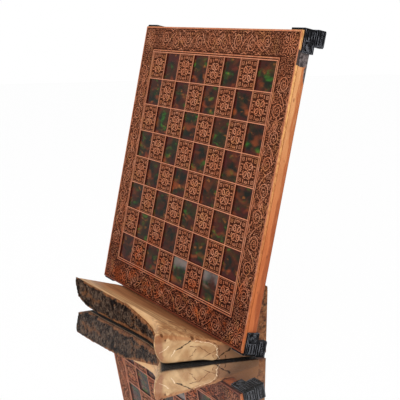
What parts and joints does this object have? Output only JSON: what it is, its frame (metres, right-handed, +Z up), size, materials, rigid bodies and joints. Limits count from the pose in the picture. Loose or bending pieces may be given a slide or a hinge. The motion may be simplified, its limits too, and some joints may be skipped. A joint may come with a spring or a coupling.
{
  "type": "chessboard on display stand",
  "caption": "Square chessboard with sunk enamel squares, carved border, wooden frame and cast corner feet, leaning in a live-edge wooden stand.",
  "frame": {"origin": "middle of the bounding box's base, on the floor under the stand", "axes": "+X to the board's right as seen from its front, -Y the way the board faces, +Z up"},
  "size_m": [0.507, 0.2476, 0.523],
  "materials": {
    "carved_panel": "carved, stained copper brown",
    "enamel": "glossy dark enamel with green and orange clouds",
    "rail_wood": "oiled olive wood",
    "core_wood": "plain, sealed",
    "foot_casting": "blackened",
    "steel": "plain",
    "stand_wood": "oiled olive wood with open end grain",
    "bark": "rough bark",
    "felt": "felt"
  },
  "bodies": {
    "stand": {"stand_base": "stand_wood", "base_bark": "bark", "back_rest": "stand_wood", "back_rest_bark": "bark", "stand_screws": "steel", "stand_pads": "felt"},
    "board": {"engraved_top_panel": "carved_panel", "core_panel": "core_wood", "enamel_tile_a1": "enamel", "enamel_tile_c1": "enamel", "enamel_tile_e1": "enamel", "enamel_tile_g1": "enamel", "enamel_tile_b2": "enamel", "enamel_tile_d2": "enamel", "enamel_tile_f2": "enamel", "enamel_tile_h2": "enamel", "enamel_tile_a3": "enamel", "enamel_tile_c3": "enamel", "enamel_tile_e3": "enamel", "enamel_tile_g3": "enamel", "enamel_tile_b4": "enamel", "enamel_tile_d4": "enamel", "enamel_tile_f4": "enamel", "enamel_tile_h4": "enamel", "enamel_tile_a5": "enamel", "enamel_tile_c5": "enamel", "enamel_tile_e5": "enamel", "enamel_tile_g5": "enamel", "enamel_tile_b6": "enamel", "enamel_tile_d6": "enamel", "enamel_tile_f6": "enamel", "enamel_tile_h6": "enamel", "enamel_tile_a7": "enamel", "enamel_tile_c7": "enamel", "enamel_tile_e7": "enamel", "enamel_tile_g7": "enamel", "enamel_tile_b8": "enamel", "enamel_tile_d8": "enamel", "enamel_tile_f8": "enamel", "enamel_tile_h8": "enamel", "frame_rail_bottom": "rail_wood", "frame_rail_right": "rail_wood", "frame_rail_top": "rail_wood", "frame_rail_left": "rail_wood", "underside_panel": "core_wood", "mitre_splines": "core_wood", "corner_foot_top_right": "foot_casting", "corner_foot_top_left": "foot_casting", "corner_foot_bottom_left": "foot_casting", "corner_foot_bottom_right": "foot_casting", "foot_screws": "steel"}
  },
  "joints": [
    {"name": "board_lifts_out", "type": "slide", "parent": "stand", "child": "board", "axis": [0, 0.1951, 0.9808], "range_m": [0, 0.12]}
  ]
}
